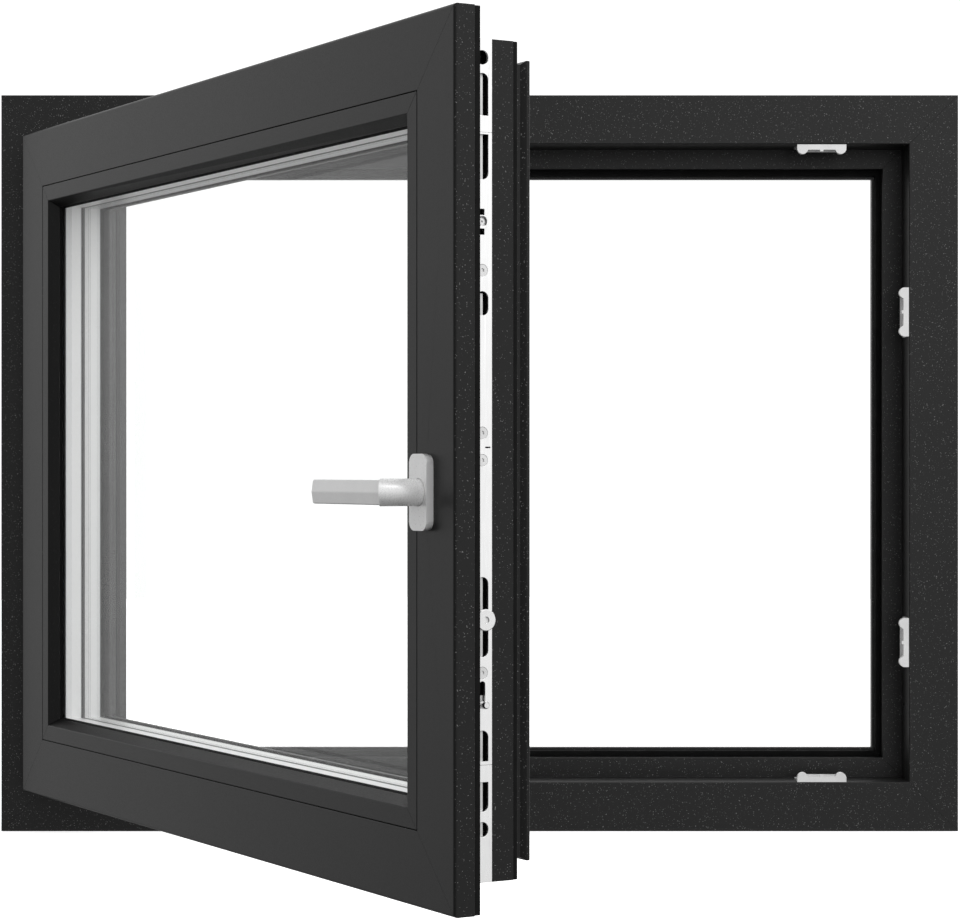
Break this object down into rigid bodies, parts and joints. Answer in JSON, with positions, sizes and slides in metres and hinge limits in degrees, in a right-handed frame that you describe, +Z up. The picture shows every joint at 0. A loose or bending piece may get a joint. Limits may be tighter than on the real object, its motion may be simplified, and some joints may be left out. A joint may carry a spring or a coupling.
{
  "type": "casement window",
  "caption": "Side-hung, inward-opening casement window: anthracite frame, triple-glazed sash, lever handle and perimeter locking gear with keeps.",
  "frame": {"origin": "middle of the fixed frame's bottom face, on its width and its depth", "axes": "+X to the right and +Y to the outside as seen from the room, +Z up; the sash is stored turned 60 degrees open into the room"},
  "size_m": [1.17, 1.0437, 0.9],
  "materials": {
    "frame_coat": "fine-textured anthracite powder coat",
    "sash_coat": "smooth satin anthracite powder coat",
    "bead_coat": "smooth satin anthracite powder coat",
    "seal_rubber": "matt black",
    "sealant": "matt black",
    "glass": "clear",
    "spacer_metal": "mill finish, pale",
    "cleat_metal": "mill finish",
    "block_plastic": "moulded",
    "keep_zinc": "bright zinc",
    "screw_steel": "zinc plated",
    "faceplate_steel": "bright zinc plated, satin",
    "gear_steel": "zinc plated",
    "cam_steel": "bright zinc plated",
    "hinge_coat": "anthracite, to match the frame",
    "rosette_satin": "satin with a polished edge",
    "grip_satin": "satin anodised",
    "neck_chrome": "polished"
  },
  "bodies": {
    "frame": {"frame_head": "frame_coat", "frame_sill": "frame_coat", "frame_jamb_hinge": "frame_coat", "frame_jamb_lock": "frame_coat", "frame_corner_cleats": "cleat_metal", "frame_seal": "seal_rubber", "keep_head": "keep_zinc", "keep_sill": "keep_zinc", "keep_lock_upper": "keep_zinc", "keep_lock_lower": "keep_zinc", "keep_screws": "screw_steel", "hinge_leaf_frame_upper": "hinge_coat", "hinge_leaf_frame_lower": "hinge_coat", "hinge_pins": "screw_steel", "hinge_screws_frame": "screw_steel"},
    "sash": {"sash_rail_top": "sash_coat", "sash_rail_bottom": "sash_coat", "sash_stile_hinge": "sash_coat", "sash_stile_lock": "sash_coat", "sash_corner_cleats": "cleat_metal", "overlap_seal": "seal_rubber", "edge_seal": "seal_rubber", "bead_top": "bead_coat", "bead_bottom": "bead_coat", "bead_hinge": "bead_coat", "bead_lock": "bead_coat", "glazing_seal_inner": "seal_rubber", "glazing_seal_outer": "seal_rubber", "glazing_blocks": "block_plastic", "pane_inner": "glass", "pane_middle": "glass", "pane_outer": "glass", "spacer_inner": "spacer_metal", "spacer_outer": "spacer_metal", "edge_sealant": "sealant", "faceplate_lock": "faceplate_steel", "faceplate_top": "faceplate_steel", "faceplate_bottom": "faceplate_steel", "corner_drive_upper": "faceplate_steel", "corner_drive_lower": "faceplate_steel", "faceplate_screws": "screw_steel", "gearbox_case": "gear_steel", "hinge_leaf_sash_upper": "hinge_coat", "hinge_leaf_sash_lower": "hinge_coat", "hinge_screws_sash": "screw_steel", "rosette": "rosette_satin", "rosette_screws": "screw_steel"},
    "handle": {"handle_neck": "neck_chrome", "handle_grip": "grip_satin", "handle_spindle": "screw_steel", "drive_pinion": "gear_steel"},
    "lock_rod": {"rod_lock": "gear_steel", "roller_cam": "cam_steel", "locking_pins": "cam_steel"},
    "top_rod": {"rod_top": "gear_steel"},
    "bottom_rod": {"rod_bottom": "gear_steel"}
  },
  "joints": [
    {"name": "sash_turn", "type": "hinge", "parent": "frame", "child": "sash", "pos_m": [-0.5454, -0.0575, 0.45], "axis": [0, 0, -1], "range_deg": [-60, 35]},
    {"name": "handle_turn", "type": "hinge", "parent": "sash", "child": "handle", "pos_m": [-0.04827, -0.95336, 0.422], "axis": [-0.866, -0.5, 0], "range_deg": [0, 90]},
    {"name": "lock_rod_slide", "type": "slide", "parent": "sash", "child": "lock_rod", "axis": [0, 0, 1], "range_m": [0, 0.018]},
    {"name": "top_rod_slide", "type": "slide", "parent": "sash", "child": "top_rod", "axis": [-0.5, 0.866, 0], "range_m": [0, 0.018]},
    {"name": "bottom_rod_slide", "type": "slide", "parent": "sash", "child": "bottom_rod", "axis": [0.5, -0.866, 0], "range_m": [0, 0.018]}
  ],
  "couplings": [
    {"joint": "lock_rod_slide", "follows": "handle_turn", "m_per_rad": 0.01125},
    {"joint": "top_rod_slide", "follows": "handle_turn", "m_per_rad": 0.01125},
    {"joint": "bottom_rod_slide", "follows": "handle_turn", "m_per_rad": 0.01125}
  ]
}
